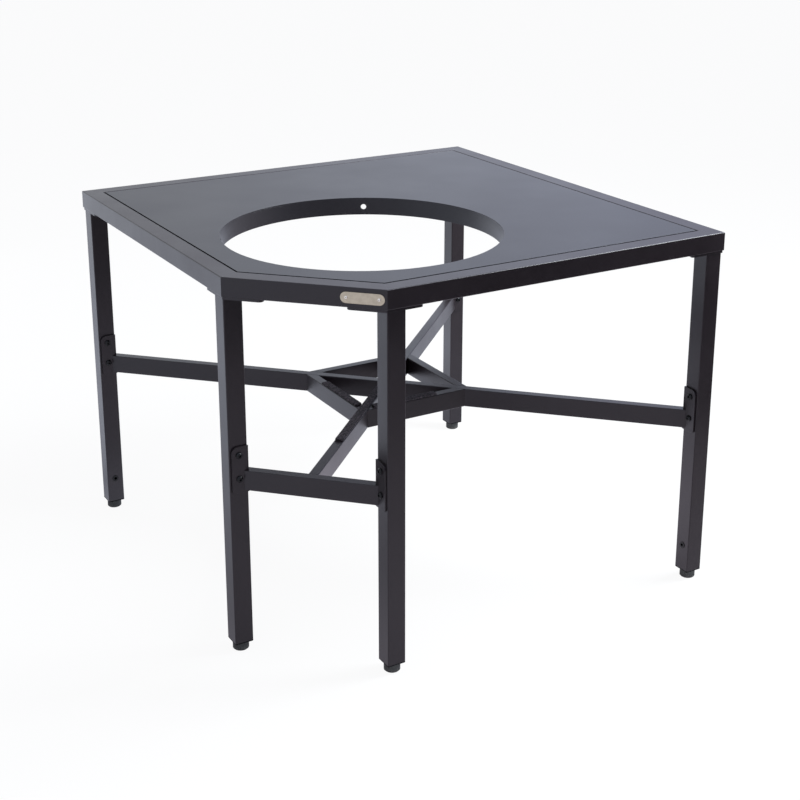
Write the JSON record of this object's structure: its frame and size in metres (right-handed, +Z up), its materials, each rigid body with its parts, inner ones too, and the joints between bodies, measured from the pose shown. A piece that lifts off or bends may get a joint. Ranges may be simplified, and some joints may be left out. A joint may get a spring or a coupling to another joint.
{
  "type": "grill table",
  "caption": "Black steel corner table with a cut-off front edge, a round ring-lined opening for a ceramic charcoal grill, levelling feet and a bolted lower frame.",
  "frame": {"origin": "on the floor, under the middle of the table's bounding box", "axes": "+Z up; the cut-off front edge faces -Y and the square back corner points to +Y; +X runs along the long diagonal to the right corner"},
  "size_m": [1.4142, 1.2612, 0.77],
  "materials": {
    "powder_coat": "satin black powder coat, fine texture",
    "panel_coat": "satin black powder coat, fine texture",
    "black_screw": "black oxide",
    "zinc_steel": "zinc plated",
    "insert_plastic": "matt black",
    "foot_rubber": "matt black",
    "felt": "pressed dark grey felt",
    "plate_metal": "brushed, warm",
    "rivet_metal": "plain"
  },
  "bodies": {
    "frame": {"bracket_back": "powder_coat", "bracket_front_left": "powder_coat", "bracket_front_right": "powder_coat", "bracket_left": "powder_coat", "bracket_right": "powder_coat", "bracket_screws": "black_screw", "corner_plate_back": "powder_coat", "corner_plate_bolts": "black_screw", "corner_plate_front_left": "powder_coat", "corner_plate_front_right": "powder_coat", "corner_plate_left": "powder_coat", "corner_plate_right": "powder_coat", "cradle_back_left": "powder_coat", "cradle_back_right": "powder_coat", "cradle_front_left": "powder_coat", "cradle_front_right": "powder_coat", "cross_bar": "powder_coat", "felt_front_left": "felt", "felt_front_right": "felt", "felt_spine": "felt", "front_stretcher": "powder_coat", "ledge_back_left": "powder_coat", "ledge_back_right": "powder_coat", "ledge_front": "powder_coat", "ledge_left": "powder_coat", "ledge_right": "powder_coat", "leg_back": "powder_coat", "leg_front_left": "powder_coat", "leg_front_right": "powder_coat", "leg_insert_back": "insert_plastic", "leg_insert_front_left": "insert_plastic", "leg_insert_front_right": "insert_plastic", "leg_insert_left": "insert_plastic", "leg_insert_right": "insert_plastic", "leg_left": "powder_coat", "leg_right": "powder_coat", "leg_sockets": "black_screw", "name_plate": "plate_metal", "name_plate_rivets": "rivet_metal", "rail_back_left": "powder_coat", "rail_back_right": "powder_coat", "rail_front": "powder_coat", "rail_left": "powder_coat", "rail_right": "powder_coat", "spine_back": "powder_coat", "spine_front": "powder_coat"},
    "top": {"top_panel": "panel_coat", "opening_ring": "panel_coat"},
    "foot_left": {"foot_pad_left": "foot_rubber", "foot_stud_left": "zinc_steel"},
    "foot_front_left": {"foot_pad_front_left": "foot_rubber", "foot_stud_front_left": "zinc_steel"},
    "foot_front_right": {"foot_pad_front_right": "foot_rubber", "foot_stud_front_right": "zinc_steel"},
    "foot_right": {"foot_pad_right": "foot_rubber", "foot_stud_right": "zinc_steel"},
    "foot_back": {"foot_pad_back": "foot_rubber", "foot_stud_back": "zinc_steel"}
  },
  "joints": [
    {"name": "panel_lift", "type": "slide", "parent": "frame", "child": "top", "axis": [0, 0, 1], "range_m": [0, 0.15]},
    {"name": "foot_left_level", "type": "slide", "parent": "frame", "child": "foot_left", "axis": [0, 0, -1], "range_m": [0, 0.02]},
    {"name": "foot_front_left_level", "type": "slide", "parent": "frame", "child": "foot_front_left", "axis": [0, 0, -1], "range_m": [0, 0.02]},
    {"name": "foot_front_right_level", "type": "slide", "parent": "frame", "child": "foot_front_right", "axis": [0, 0, -1], "range_m": [0, 0.02]},
    {"name": "foot_right_level", "type": "slide", "parent": "frame", "child": "foot_right", "axis": [0, 0, -1], "range_m": [0, 0.02]},
    {"name": "foot_back_level", "type": "slide", "parent": "frame", "child": "foot_back", "axis": [0, 0, -1], "range_m": [0, 0.02]}
  ]
}
